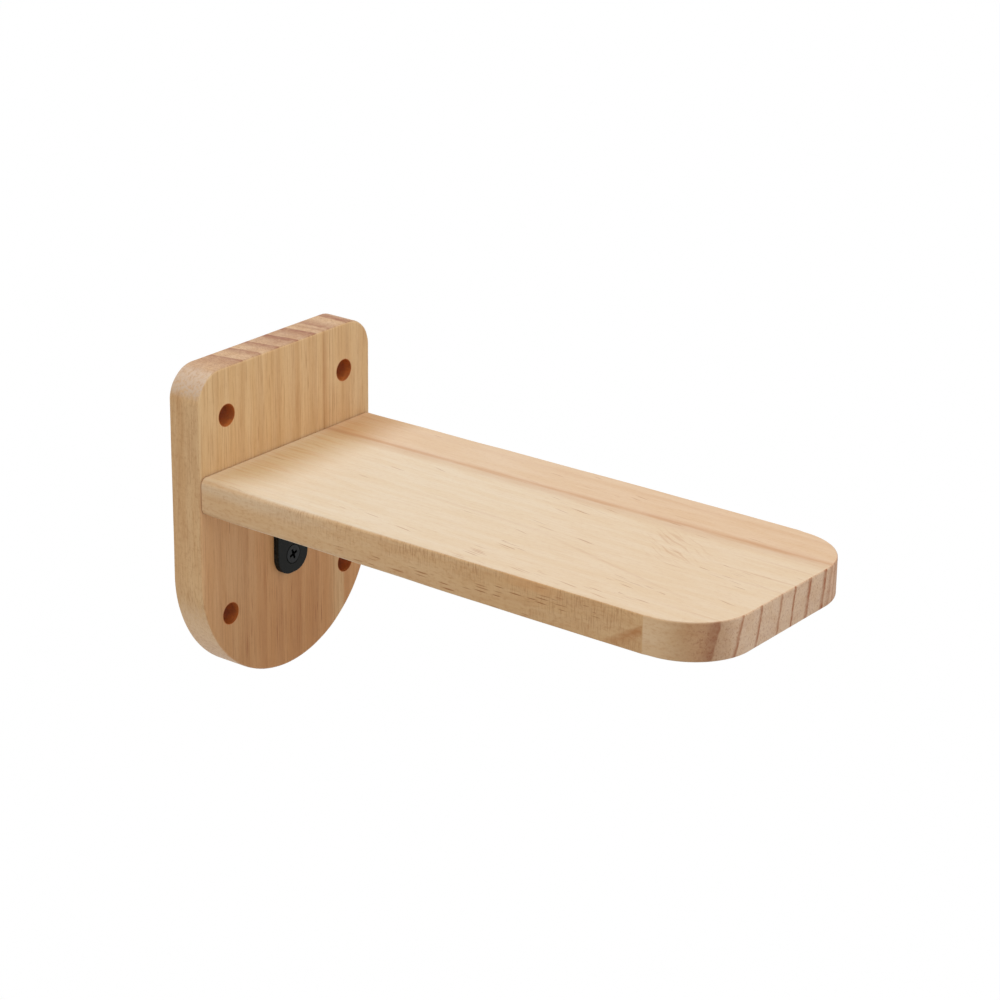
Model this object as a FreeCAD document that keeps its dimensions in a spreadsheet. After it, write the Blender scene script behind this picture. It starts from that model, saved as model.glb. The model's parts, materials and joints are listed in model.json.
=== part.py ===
import FreeCAD, Part
import os

import Sketcher

# A small wooden wall step for a cat: a shelf board butted on a back plate, tied from below by a steel
# corner bracket and from behind by two wood screws. The frame's origin is the middle of the four wall
# holes on the plate's rear face: the wall lies towards +Y, the shelf reaches out along -Y, Z is up.

# Driving dimensions in millimetres
SIZES = {
    # Back plate, whose width is the shelf's too
    "plate_width": 80,
    "plate_height": 107.5,
    "plate_thickness": 12,
    "plate_corner_radius": 10,
    "plate_edge_round": 1,
    "wall_hole_diameter": 7,
    "wall_hole_side_inset": 12.5,
    "wall_hole_top_inset": 15.5,
    "wall_hole_foot_inset": 26.5,
    # Shelf board, hung this far below the plate's top edge
    "shelf_length": 185,
    "shelf_thickness": 12,
    "shelf_corner_radius": 20,
    "shelf_edge_round": 1.5,
    "shelf_end_ease": 0.9,
    "shelf_drop": 32.5,
    # Corner bracket, bent from strip
    "bracket_width": 14,
    "bracket_thickness": 2,
    "bracket_plate_leg": 31,
    "bracket_shelf_leg": 31,
    "bracket_bend_radius": 1,
    "bracket_end_radius": 6,
    "bracket_edge_round": 0.3,
    "bracket_hole_inset": 6.3,
    "bracket_hole_pitch": 13,
    # Bracket screws, which leave this much wood beyond their points
    "bracket_screw_diameter": 3,
    "bracket_screw_core": 2,
    "bracket_screw_pitch": 1.3,
    "bracket_screw_head": 6,
    "bracket_screw_cover": 2,
    # Screws from behind the plate into the shelf's end
    "rear_screw_diameter": 4,
    "rear_screw_core": 2.8,
    "rear_screw_pitch": 1.8,
    "rear_screw_head": 8,
    "rear_screw_length": 40,
    "rear_screw_side_inset": 15,
    "rear_screw_recess": 0.5,
    # Fits shared by all screws: the rim of a head, the play round a thread, the space past a point
    "head_rim": 0.3,
    "thread_play": 0.1,
    "point_space": 0.5,
}

# A cross recess, as shares of its screw's head diameter
RECESS_SPAN_SHARE = 0.58
RECESS_WIDTH_SHARE = 0.15
RECESS_DEPTH_SHARE = 0.24
# Where each screw's recess stopped when it was driven home, in degrees
RECESS_ANGLES = {
    "bracket_plate_screw_lower": 20,
    "bracket_plate_screw_upper": 63,
    "bracket_shelf_screw_inner": 8,
    "bracket_shelf_screw_outer": 41,
    "rear_screw_left": 33,
    "rear_screw_right": 72,
}
# A thread ridge, as shares of its pitch and of its depth below the core's surface
RIDGE_WIDTH_SHARE = 0.55
RIDGE_ROOT_SHARE = 0.2

# Places that several pieces share, as expressions on the sheet
WALL_HOLE_X = "(sizes.plate_width / 2 - sizes.wall_hole_side_inset)"
WALL_HOLE_Z = "((sizes.plate_height - sizes.wall_hole_top_inset - sizes.wall_hole_foot_inset) / 2)"
PLATE_TOP = f"({WALL_HOLE_Z} + sizes.wall_hole_top_inset)"
SHELF_TOP = f"({PLATE_TOP} - sizes.shelf_drop)"
SHELF_UNDERSIDE = f"({SHELF_TOP} - sizes.shelf_thickness)"
SHELF_MIDDLE = f"({SHELF_TOP} - sizes.shelf_thickness / 2)"
THIN_BOARD = "min(sizes.plate_thickness; sizes.shelf_thickness)"
BRACKET_SCREW_LENGTH = f"({THIN_BOARD} + sizes.bracket_thickness - sizes.bracket_screw_cover)"
BRACKET_PILOT_DEPTH = f"({BRACKET_SCREW_LENGTH} - sizes.bracket_thickness + sizes.point_space)"
BRACKET_PILOT = "(sizes.bracket_screw_diameter + 2 * sizes.thread_play)"
REAR_PILOT = "(sizes.rear_screw_diameter + 2 * sizes.thread_play)"
REAR_REACH = "(sizes.rear_screw_length + sizes.rear_screw_recess - sizes.plate_thickness)"
REAR_SCREW_X = "(sizes.plate_width / 2 - sizes.rear_screw_side_inset)"
# Bracket holes, measured along a leg from its tip
BRACKET_HOLES = {
    "outer": "sizes.bracket_hole_inset",
    "inner": "(sizes.bracket_hole_inset + sizes.bracket_hole_pitch)",
}
# The two sides of the middle plane
LEFT, RIGHT = "-1", "1"

# A sketch's own origin and a curve's points, as a sketch numbers them
ORIGIN = (-1, 1)
START_INDEX, END_INDEX, CENTRE_INDEX = 1, 2, 3
SKETCH_NORMAL = FreeCAD.Vector(0, 0, 1)
X_AXIS = FreeCAD.Vector(1, 0, 0)
TOLERANCE = 1e-4

doc = FreeCAD.newDocument("cat_wall_step")
sheet = doc.addObject("Spreadsheet::Sheet", "sizes")
for row, (alias, number) in enumerate(SIZES.items(), start=1):
    sheet.set(f"A{row}", alias)
    sheet.set(f"B{row}", str(number))
    sheet.setAlias(f"B{row}", alias)
doc.recompute()


def value(expression):
    """The number that an expression on the sheet stands for now."""
    return float(sheet.evalExpression(expression))


def new_body(label, x="0", y="0", z="0", turn=FreeCAD.Rotation()):
    """A sub-part with its own frame, placed by three expressions and turned by a rotation."""
    body = doc.addObject("PartDesign::Body", label)
    body.Label = label
    body.Placement = FreeCAD.Placement(FreeCAD.Vector(), turn)
    for axis, place in zip("xyz", (x, y, z)):
        body.setExpression(f"Placement.Base.{axis}", place)
    return body


def new_sketch(body, plane, name, offset="0"):
    """A sketch on one of the body's own planes, shifted along the plane's normal."""
    support = next(feature for feature in body.Origin.OriginFeatures if feature.Role == plane)
    sketch = body.newObject("Sketcher::SketchObject", name)
    sketch.AttachmentSupport = [(support, "")]
    sketch.MapMode = "FlatFace"
    sketch.setExpression("AttachmentOffset.Base.z", offset)
    return sketch


def bind(sketch, kind, ids, expression):
    """Add a dimension to the sketch and bind it to an expression."""
    index = sketch.addConstraint(Sketcher.Constraint(kind, *ids, value(expression)))
    sketch.setExpression(f"Constraints[{index}]", expression)


def pin(sketch, geometry, end, x, y):
    """Hold one point of a sketch at a place given by two expressions."""
    bind(sketch, "DistanceX", (*ORIGIN, geometry, end), x)
    bind(sketch, "DistanceY", (*ORIGIN, geometry, end), y)


def left_arc(start, end, radius):
    """The arc of up to a half circle that turns left on its way from start to end."""
    chord = end - start
    inward = SKETCH_NORMAL.cross(chord).normalize()
    rise = max(radius ** 2 - (chord.Length / 2) ** 2, 0) ** 0.5
    middle = (start + end) / 2
    circle = Part.Circle(middle + inward * rise, SKETCH_NORMAL, radius)
    return Part.ArcOfCircle(circle, circle.parameter(start), circle.parameter(end))


def add_outline(sketch, corners):
    """Draw a closed outline, anticlockwise through corners given as expressions.

    A corner is (x, y), or (x, y, radius) where the edge that leaves it is an arc turning left, which
    runs smoothly into the edge after it.
    """
    points = [FreeCAD.Vector(value(corner[0]), value(corner[1]), 0) for corner in corners]
    edges = []
    for index, corner in enumerate(corners):
        start = points[index]
        end = points[(index + 1) % len(points)]
        is_arc = len(corner) == 3
        shape = left_arc(start, end, value(corner[2])) if is_arc else Part.LineSegment(start, end)
        edges.append(sketch.addGeometry(shape))
    for index, corner in enumerate(corners):
        after_arc = len(corners[index - 1]) == 3
        joint = "Tangent" if after_arc else "Coincident"
        edge, edge_before = edges[index], edges[index - 1]
        sketch.addConstraint(Sketcher.Constraint(joint, edge_before, END_INDEX, edge, START_INDEX))
        pin(sketch, edge, START_INDEX, corner[0], corner[1])


def add_circles(sketch, centres, diameter):
    """Draw equal circles round centres given as pairs of expressions."""
    for x, y in centres:
        place = FreeCAD.Vector(value(x), value(y), 0)
        circle = sketch.addGeometry(Part.Circle(place, SKETCH_NORMAL, value(diameter) / 2))
        pin(sketch, circle, CENTRE_INDEX, x, y)
        bind(sketch, "Diameter", (circle,), diameter)


def add_pad(body, sketch, length, backwards=False, both_sides=False):
    """Grow a sketch into a solid along its normal, against it, or half each way."""
    pad = body.newObject("PartDesign::Pad", f"{sketch.Name}_pad")
    pad.Profile = sketch
    pad.setExpression("Length", length)
    pad.Reversed = backwards
    if both_sides:
        pad.SideType = "Symmetric"
    doc.recompute()
    return pad


def require_cut(body, cut, volume_before):
    """Stop if a cut took nothing away, as one that points out of the solid does."""
    if cut.Shape.Volume > volume_before - TOLERANCE:
        raise RuntimeError(f"{body.Label}: {cut.Label} removes nothing")


def add_pocket(body, sketch, depth=None, along_normal=False):
    """Cut a sketch into the solid, to a depth or right through."""
    volume_before = body.Shape.Volume
    pocket = body.newObject("PartDesign::Pocket", f"{sketch.Name}_pocket")
    pocket.Profile = sketch
    pocket.Reversed = along_normal
    if depth is None:
        pocket.Type = "ThroughAll"
    else:
        pocket.setExpression("Length", depth)
    doc.recompute()
    require_cut(body, pocket, volume_before)
    return pocket


def add_countersunk_holes(body, sketch, diameter, cut_diameter, along_normal=False):
    """Drill through the solid at the sketch's circles, with a 90 degree countersink at the sketch."""
    volume_before = body.Shape.Volume
    hole = body.newObject("PartDesign::Hole", f"{sketch.Name}_hole")
    hole.Profile = sketch
    doc.recompute()
    hole.Reversed = along_normal
    hole.DepthType = "ThroughAll"
    hole.HoleCutType = "Countersink"
    hole.HoleCutCustomValues = True
    hole.HoleCutCountersinkAngle = 90
    hole.setExpression("Diameter", diameter)
    hole.setExpression("HoleCutDiameter", cut_diameter)
    doc.recompute()
    require_cut(body, hole, volume_before)
    return hole


def add_fillet(body, name, radius, wanted):
    """Round the edges of the body's last feature that pass a test."""
    base = body.Tip
    edges = [f"Edge{index}" for index, edge in enumerate(base.Shape.Edges, start=1) if wanted(edge)]
    fillet = body.newObject("PartDesign::Fillet", name)
    fillet.Base = (base, edges)
    fillet.setExpression("Radius", radius)
    doc.recompute()
    return fillet


def same(first, second):
    """True for two lengths that differ by no more than rounding."""
    return abs(first - second) < TOLERANCE


def is_flat_at(edge, axis, place):
    """True for an edge that lies in the plane square to an axis (x, y or z) at a place on it."""
    box = edge.BoundBox
    low, high = getattr(box, f"{axis.upper()}Min"), getattr(box, f"{axis.upper()}Max")
    return same(low, place) and same(high, place)


def mirrored(x, y):
    """One point on each side of the middle plane."""
    return [(f"{side} * {x}", y) for side in (LEFT, RIGHT)]


def leg_holes(leg_end):
    """The centres of a bracket leg's holes, up the middle from the leg's end."""
    return [("0", f"{leg_end} + {along}") for along in BRACKET_HOLES.values()]


def make_back_plate():
    """Upright board with two round top corners, a half-round foot and all the screw holes."""
    body = new_body("back_plate")
    half = "sizes.plate_width / 2"
    corner = "sizes.plate_corner_radius"
    foot = f"{PLATE_TOP} - sizes.plate_height + {half}"
    outline = new_sketch(body, "XZ_Plane", "plate_outline")
    add_outline(outline, [
        (f"-{half}", foot, half),
        (half, foot),
        (half, f"{PLATE_TOP} - {corner}", corner),
        (f"{half} - {corner}", PLATE_TOP),
        (f"-{half} + {corner}", PLATE_TOP, corner),
        (f"-{half}", f"{PLATE_TOP} - {corner}"),
    ])
    add_pad(body, outline, "sizes.plate_thickness")
    front = -value("sizes.plate_thickness")
    add_fillet(body, "plate_edges", "sizes.plate_edge_round",
               lambda edge: is_flat_at(edge, "y", 0) or is_flat_at(edge, "y", front))

    wall_holes = new_sketch(body, "XZ_Plane", "plate_wall_holes", "sizes.plate_thickness")
    for level in (f"-{WALL_HOLE_Z}", WALL_HOLE_Z):
        add_circles(wall_holes, mirrored(WALL_HOLE_X, level), "sizes.wall_hole_diameter")
    add_pocket(body, wall_holes)

    rear_holes = new_sketch(body, "XZ_Plane", "plate_rear_holes")
    add_circles(rear_holes, mirrored(REAR_SCREW_X, SHELF_MIDDLE), REAR_PILOT)
    add_countersunk_holes(body, rear_holes, REAR_PILOT,
                          "sizes.rear_screw_head + 2 * (sizes.head_rim + sizes.rear_screw_recess)",
                          along_normal=True)

    pilots = new_sketch(body, "XZ_Plane", "plate_pilot_holes", "sizes.plate_thickness")
    add_circles(pilots, leg_holes(f"{SHELF_UNDERSIDE} - sizes.bracket_plate_leg"), BRACKET_PILOT)
    add_pocket(body, pilots, BRACKET_PILOT_DEPTH)
    return body


def make_shelf_board():
    """Flat board with two round outer corners; its frame is on its top face at the plate."""
    body = new_body("shelf_board", y="-sizes.plate_thickness", z=SHELF_TOP)
    half = "sizes.plate_width / 2"
    corner = "sizes.shelf_corner_radius"
    outline = new_sketch(body, "XY_Plane", "shelf_outline")
    add_outline(outline, [
        (f"-{half}", "0"),
        (f"-{half}", f"-sizes.shelf_length + {corner}", corner),
        (f"-{half} + {corner}", "-sizes.shelf_length"),
        (f"{half} - {corner}", "-sizes.shelf_length", corner),
        (half, f"-sizes.shelf_length + {corner}"),
        (half, "0"),
    ])
    add_pad(body, outline, "sizes.shelf_thickness", backwards=True)
    underside = -value("sizes.shelf_thickness")
    add_fillet(body, "shelf_edges", "sizes.shelf_edge_round",
               lambda edge: (is_flat_at(edge, "z", 0) or is_flat_at(edge, "z", underside))
               and not is_flat_at(edge, "y", 0))
    add_fillet(body, "shelf_joint_edges", "sizes.shelf_end_ease", lambda edge: is_flat_at(edge, "y", 0))

    end_pilots = new_sketch(body, "XZ_Plane", "shelf_end_pilots")
    add_circles(end_pilots, mirrored(REAR_SCREW_X, "-sizes.shelf_thickness / 2"), REAR_PILOT)
    add_pocket(body, end_pilots, f"{REAR_REACH} + sizes.point_space", along_normal=True)

    pilots = new_sketch(body, "XY_Plane", "shelf_pilot_holes", "-sizes.shelf_thickness")
    add_circles(pilots, leg_holes("-sizes.bracket_shelf_leg"), BRACKET_PILOT)
    add_pocket(body, pilots, BRACKET_PILOT_DEPTH, along_normal=True)
    return body


def make_corner_bracket():
    """Bent strip with round ends; its frame is where the plate's face meets the shelf's underside."""
    body = new_body("corner_bracket", y="-sizes.plate_thickness", z=SHELF_UNDERSIDE)
    thick = "sizes.bracket_thickness"
    profile = new_sketch(body, "YZ_Plane", "bracket_profile")
    add_outline(profile, [
        ("0", "0"),
        ("-sizes.bracket_shelf_leg", "0"),
        ("-sizes.bracket_shelf_leg", f"-{thick}"),
        (f"-{thick}", f"-{thick}"),
        (f"-{thick}", "-sizes.bracket_plate_leg"),
        ("0", "-sizes.bracket_plate_leg"),
    ])
    add_pad(body, profile, "sizes.bracket_width", both_sides=True)

    inner = -value(thick)
    side = value("sizes.bracket_width") / 2
    shelf_tip = -value("sizes.bracket_shelf_leg")
    plate_tip = -value("sizes.bracket_plate_leg")

    def is_tip_corner(edge):
        at_side = is_flat_at(edge, "x", side) or is_flat_at(edge, "x", -side)
        return at_side and (is_flat_at(edge, "y", shelf_tip) or is_flat_at(edge, "z", plate_tip))

    add_fillet(body, "bracket_ends", "sizes.bracket_end_radius", is_tip_corner)
    add_fillet(body, "bracket_inner_bend", "sizes.bracket_bend_radius",
               lambda edge: is_flat_at(edge, "y", inner) and is_flat_at(edge, "z", inner))
    add_fillet(body, "bracket_outer_bend", f"sizes.bracket_bend_radius + {thick}",
               lambda edge: is_flat_at(edge, "y", 0) and is_flat_at(edge, "z", 0))

    def is_inner_rim(edge):
        on_leg = is_flat_at(edge, "y", inner) or is_flat_at(edge, "z", inner)
        across = edge.BoundBox.XLength > 2 * side - TOLERANCE
        return on_leg and not across

    add_fillet(body, "bracket_edges", "sizes.bracket_edge_round", is_inner_rim)

    seat = "sizes.bracket_screw_head + 2 * sizes.head_rim"
    plate_holes = new_sketch(body, "XZ_Plane", "bracket_plate_holes", thick)
    add_circles(plate_holes, leg_holes("-sizes.bracket_plate_leg"), BRACKET_PILOT)
    add_countersunk_holes(body, plate_holes, BRACKET_PILOT, seat)
    shelf_holes = new_sketch(body, "XY_Plane", "bracket_shelf_holes", f"-{thick}")
    add_circles(shelf_holes, leg_holes("-sizes.bracket_shelf_leg"), BRACKET_PILOT)
    add_countersunk_holes(body, shelf_holes, BRACKET_PILOT, seat, along_normal=True)
    return body


def make_screw(label, family, length, thread_start, place, drive_angle):
    """Countersunk wood screw whose head top is at its own origin and whose shank points down its Z.

    The family names the sheet's sizes, and the drive angle tilts the shank about X.
    """
    drive = FreeCAD.Rotation(X_AXIS, drive_angle)
    rotation = drive * FreeCAD.Rotation(SKETCH_NORMAL, RECESS_ANGLES[label])
    body = new_body(label, *place, rotation)
    head = f"sizes.{family}_head"
    thread = f"sizes.{family}_diameter / 2"
    core = f"sizes.{family}_core / 2"
    pitch = f"sizes.{family}_pitch"
    point = f"(-{length} + 2 * {core})"
    head_foot = f"(-sizes.head_rim - {head} / 2 + {core})"

    profile = new_sketch(body, "XZ_Plane", f"{label}_profile")
    add_outline(profile, [
        ("0", "0"),
        ("0", f"-{length}"),
        (core, point),
        (core, head_foot),
        (f"{head} / 2", "-sizes.head_rim"),
        (f"{head} / 2", "0"),
    ])
    shank = body.newObject("PartDesign::Revolution", f"{label}_shank")
    shank.Profile = profile
    shank.ReferenceAxis = (profile, ["V_Axis"])
    doc.recompute()

    ridge_height = f"{RIDGE_WIDTH_SHARE} * {pitch}"
    ridge_foot = f"({core} - {RIDGE_ROOT_SHARE} * ({thread} - {core}))"
    ridge = new_sketch(body, "XZ_Plane", f"{label}_ridge")
    add_outline(ridge, [
        (ridge_foot, point),
        (thread, f"{point} + {ridge_height} / 2"),
        (ridge_foot, f"{point} + {ridge_height}"),
    ])
    helix = body.newObject("PartDesign::AdditiveHelix", f"{label}_thread")
    helix.Profile = ridge
    helix.ReferenceAxis = (ridge, ["V_Axis"])
    helix.setExpression("Pitch", pitch)
    helix.setExpression("Height", f"-({thread_start}) - {point} - {ridge_height}")
    doc.recompute()

    slot = new_sketch(body, "XY_Plane", f"{label}_recess")
    half_span = f"{RECESS_SPAN_SHARE} * {head} / 2"
    half_width = f"{RECESS_WIDTH_SHARE} * {head} / 2"
    add_outline(slot, [
        (f"-{half_span}", f"-{half_width}"),
        (half_span, f"-{half_width}"),
        (half_span, half_width),
        (f"-{half_span}", half_width),
    ])
    pocket = add_pocket(body, slot, f"{RECESS_DEPTH_SHARE} * {head}")
    cross = body.newObject("PartDesign::PolarPattern", f"{label}_cross")
    cross.Originals = [pocket]
    cross.Axis = (slot, ["N_Axis"])
    cross.Angle = 90
    cross.Occurrences = 2
    body.Tip = cross
    doc.recompute()
    return body


def make_bracket_screws():
    """Four short screws, two through each leg of the bracket, heads flush with its inner faces."""
    into_plate_angle, into_shelf_angle = 90, 180
    head_foot = "sizes.head_rim + sizes.bracket_screw_head / 2 - sizes.bracket_screw_core / 2"
    plate_leg_face = "-sizes.plate_thickness - sizes.bracket_thickness"
    plate_leg_end = f"({SHELF_UNDERSIDE} - sizes.bracket_plate_leg)"
    shelf_leg_face = f"{SHELF_UNDERSIDE} - sizes.bracket_thickness"
    shelf_leg_end = "(-sizes.plate_thickness - sizes.bracket_shelf_leg)"
    screws = []
    for name, hole in (("lower", "outer"), ("upper", "inner")):
        place = ("0", plate_leg_face, f"{plate_leg_end} + {BRACKET_HOLES[hole]}")
        screws.append(make_screw(f"bracket_plate_screw_{name}", "bracket_screw", BRACKET_SCREW_LENGTH,
                                 head_foot, place, into_plate_angle))
    for hole, along in BRACKET_HOLES.items():
        place = ("0", f"{shelf_leg_end} + {along}", shelf_leg_face)
        screws.append(make_screw(f"bracket_shelf_screw_{hole}", "bracket_screw", BRACKET_SCREW_LENGTH,
                                 head_foot, place, into_shelf_angle))
    return screws


def make_rear_screws():
    """Two long screws through the plate into the shelf's end, plain in the plate and threaded beyond."""
    into_shelf_end = -90
    length = "sizes.rear_screw_length"
    plain = "sizes.plate_thickness - sizes.rear_screw_recess"
    screws = []
    for name, side in (("left", LEFT), ("right", RIGHT)):
        place = (f"{side} * {REAR_SCREW_X}", "-sizes.rear_screw_recess", SHELF_MIDDLE)
        screws.append(make_screw(f"rear_screw_{name}", "rear_screw", length, plain, place, into_shelf_end))
    return screws


def check(bodies):
    """Stop before anything is written if any object failed or any sub-part isn't one sound solid."""
    for item in doc.Objects:
        if "Invalid" in item.State or "Error" in item.State:
            raise RuntimeError(f"{item.Label} failed: {item.State}")
    for body in bodies:
        shape = body.Shape
        if shape.isNull() or not shape.isValid() or len(shape.Solids) != 1:
            raise RuntimeError(f"{body.Label} isn't one sound solid")


def main():
    bodies = [make_back_plate(), make_shelf_board(), make_corner_bracket()]
    bodies += make_bracket_screws()
    bodies += make_rear_screws()
    doc.recompute()
    check(bodies)
    os.makedirs("parts", exist_ok=True)
    for body in bodies:
        body.Shape.exportStep(f"parts/{body.Label}.step")
        print(f"{body.Label}: {body.Shape.Volume:.1f} mm3")


main()
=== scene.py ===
import json
import math
from typing import NamedTuple

import bmesh
import bpy
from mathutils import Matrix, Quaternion, Vector, noise


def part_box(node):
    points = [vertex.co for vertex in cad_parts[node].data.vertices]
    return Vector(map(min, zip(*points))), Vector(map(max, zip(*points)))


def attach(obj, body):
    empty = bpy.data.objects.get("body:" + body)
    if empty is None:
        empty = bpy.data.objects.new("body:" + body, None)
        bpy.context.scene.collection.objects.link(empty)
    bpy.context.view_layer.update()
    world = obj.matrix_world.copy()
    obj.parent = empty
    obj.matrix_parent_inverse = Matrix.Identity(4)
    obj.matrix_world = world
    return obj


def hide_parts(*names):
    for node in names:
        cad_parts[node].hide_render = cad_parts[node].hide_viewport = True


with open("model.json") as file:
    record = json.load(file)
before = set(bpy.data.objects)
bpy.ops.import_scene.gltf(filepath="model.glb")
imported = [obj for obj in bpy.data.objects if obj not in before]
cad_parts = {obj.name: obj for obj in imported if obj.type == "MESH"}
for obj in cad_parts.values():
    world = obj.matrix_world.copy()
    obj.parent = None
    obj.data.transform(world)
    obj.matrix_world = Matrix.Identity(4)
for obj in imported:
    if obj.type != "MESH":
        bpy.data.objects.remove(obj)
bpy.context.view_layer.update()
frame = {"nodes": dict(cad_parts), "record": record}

bl_info = {
    "name": "Cat Wall Step",
    "version": (1, 0, 0),
    "blender": (4, 5, 0),
    "location": "View3D > Sidebar > Cat Step",
    "description": "Dresses a pine wall step for a cat: two boards, a bracket, its screws and a stage",
    "category": "Object",
}

# The frame, in metres: X across the step, -Y out along the shelf, Z up
# The wood's figure is worked out in millimetres
MM = 0.001
PLATE_LOW, PLATE_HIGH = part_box("back_plate")
SHELF_LOW, SHELF_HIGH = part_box("shelf_board")
BRACKET_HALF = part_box("corner_bracket")[1].x
WALL_HOLES = next(
    mount["dims"] for mount in frame["record"]["mounts"] if mount["name"] == "wall_screw_holes")
PLATE_SCREWS, SHELF_SCREWS, REAR_SCREWS = (
    [name for name in frame["nodes"] if name.startswith(start)]
    for start in ("bracket_plate_screw_", "bracket_shelf_screw_", "rear_screw_"))
# Screw holes in the boards, as the part has them
BRACKET_PILOT_RADIUS = 1.6 * MM
BRACKET_PILOT_DEPTH = 10.5 * MM
REAR_PILOT_RADIUS = 2.1 * MM
REAR_PILOT_DEPTH = 29 * MM
REAR_SINK_RADIUS = 4.8 * MM
# How the edges are divided, and the flat strip beside a rounding that keeps the broad face's shading flat
ROUND_STEPS = 6
FLAT_STRIP = 0.4 * MM
EDGE_SPACING = 3 * MM
CORNER_STEPS = 24
FOOT_STEPS = 72
HOLE_STEPS = 48
HOLE_TURNS = [math.radians(360) * step / HOLE_STEPS for step in range(HOLE_STEPS)]
QUARTER_TURN = math.radians(90)
SHARP_ANGLE = math.radians(40)
# The sanded roundings: how far they vary, over which length, and how far apart their rows are in the noise
SANDED_SHARE = 0.22
SANDED_LENGTH = 14 * MM
SANDED_ROW = 7.3
# The part of the shelf's side over which its rounding grows smaller
ROUND_FALL = 0.8
# How far inside the bracket's sides its coat is rubbed, in millimetres
RUBBED_WIDTH = 0.5
# How far the shelf's wide dark line strays for each length along
BAND_DRIFT = 0.019
# Where a growth line fades in or out, before and after its start or stop, in millimetres
LINE_START_REACH = (-20.0, 20.0)
# Cells of the resin dashes, in millimetres
DASH_SPACING = 0.9
DASH_LENGTH = 15.0
SIDE_DASH_LENGTH = 11.0
# Middle and slant of the streaks that run out of the shelf's top
FLAME_ALONG = 142.0
FLAME_ACROSS = 6.0
FLAME_SLANT = math.radians(30)
# The share of a relief's depth that shows, and half the floor's width
BUMP_STRENGTH = 0.6
FLOOR_HALF = 6.0


def linear(shaded_red, green, blue):
    """A colour written as 0 to 255 on screen, in the linear values that shaders use."""
    shares = [channel / 255 for channel in (shaded_red, green, blue)]
    return tuple(
        share / 12.92 if share <= 0.04045 else ((share + 0.055) / 1.055) ** 2.4 for share in shares)


def middle(node):
    """The middle of a node's box."""
    low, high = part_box(node)
    return (low + high) / 2


class GrowthLine(NamedTuple):
    """A dark late-wood line through a board, in millimetres, and its strength on faces and on ends."""
    place: float
    fade: float
    edge: float
    face: float = 0.0
    end: float = 0.0
    lean: float = 0.0
    drift: float = 0.0
    start: float = -1000.0
    stop: float = 1000.0


# Lines of the shelf, placed across its top at the plate; they lean through it and may drift along it
SHELF_LINES = (
    GrowthLine(place=-30.4, lean=0.19, fade=4.0, edge=0.6, end=0.68),
    GrowthLine(place=-23.0, lean=0.25, fade=1.4, edge=0.6, end=0.85),
    GrowthLine(place=-14.0, lean=0.22, fade=1.5, edge=0.6, end=0.86),
    GrowthLine(place=-3.5, lean=0.19, fade=1.4, edge=0.5, end=0.74),
    GrowthLine(place=3.5, lean=0.19, fade=1.0, edge=0.5, end=1.00),
    GrowthLine(place=11.5, lean=0.19, fade=2.1, edge=0.6, face=0.03, end=0.96),
    GrowthLine(place=19.3, lean=0.15, fade=2.1, edge=0.8, end=1.00),
    GrowthLine(place=22.6, lean=0.15, fade=3.0, edge=1.0, end=0.45),
    GrowthLine(place=25.2, lean=0.12, fade=1.4, edge=0.6, end=0.45),
    GrowthLine(place=19.0, lean=0.15, fade=3.0, edge=2.3, face=0.46, drift=BAND_DRIFT),
    GrowthLine(place=18.2, lean=0.15, fade=6.0, edge=4.0, face=0.30, drift=BAND_DRIFT),
    GrowthLine(place=34.2, lean=0.12, fade=2.2, edge=1.4, face=0.10, end=0.45, drift=0.006),
    GrowthLine(place=-5.5, fade=1.4, edge=0.9, face=0.13, drift=-0.03, start=62.0, stop=112.0),
    GrowthLine(place=16.2, fade=1.4, edge=0.9, face=0.18, drift=-0.24, start=112.0, stop=160.0),
    GrowthLine(place=-30.6, fade=1.2, edge=0.5, face=0.20, start=168.0),
    GrowthLine(place=-3.5, fade=0.9, edge=0.5, face=0.20, start=165.0),
    GrowthLine(place=3.5, fade=0.9, edge=0.5, face=0.22, start=162.0),
    GrowthLine(place=13.2, fade=1.0, edge=0.6, face=0.14, start=158.0),
)
# Lines of the plate, placed across its front face
PLATE_LINES = (
    GrowthLine(place=-31.6, lean=-0.20, fade=2.2, edge=0.7, face=0.13, end=0.20),
    GrowthLine(place=-19.5, lean=-0.21, fade=4.0, edge=0.5, face=0.17, end=0.72),
    GrowthLine(place=-11.0, lean=-0.21, fade=5.0, edge=0.5, face=0.17, end=0.75),
    GrowthLine(place=-3.0, lean=-0.21, fade=5.5, edge=0.5, face=0.20, end=0.85),
    GrowthLine(place=5.9, lean=-0.20, fade=7.0, edge=0.5, face=0.22, end=0.95),
    GrowthLine(place=14.1, lean=-0.19, fade=7.0, edge=0.6, face=0.18, end=0.92),
    GrowthLine(place=17.9, lean=-0.18, fade=1.4, edge=2.0, face=0.42, end=0.40, start=5.0),
    GrowthLine(place=17.8, lean=-0.18, fade=0.8, edge=1.0, face=0.75, start=2.0, stop=26.0),
    GrowthLine(place=20.6, lean=-0.18, fade=0.7, edge=0.4, face=0.22, end=0.55),
    GrowthLine(place=22.1, lean=-0.18, fade=0.8, edge=0.4, face=0.24, end=0.55),
    GrowthLine(place=30.0, lean=-0.18, fade=4.5, edge=0.7, face=0.17),
    GrowthLine(place=35.0, lean=-0.18, fade=1.4, edge=0.7, face=0.18, end=0.72),
    GrowthLine(place=-19.5, lean=-0.21, fade=15.0, edge=0.5, end=0.50),
    GrowthLine(place=5.9, lean=-0.20, fade=13.0, edge=0.5, end=0.58),
    GrowthLine(place=14.1, lean=-0.19, fade=13.0, edge=0.6, end=0.56),
    GrowthLine(place=20.0, lean=-0.03, fade=1.2, edge=6.0, end=0.66),
    GrowthLine(place=29.2, lean=-0.03, fade=1.2, edge=6.0, end=0.85),
)


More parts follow.
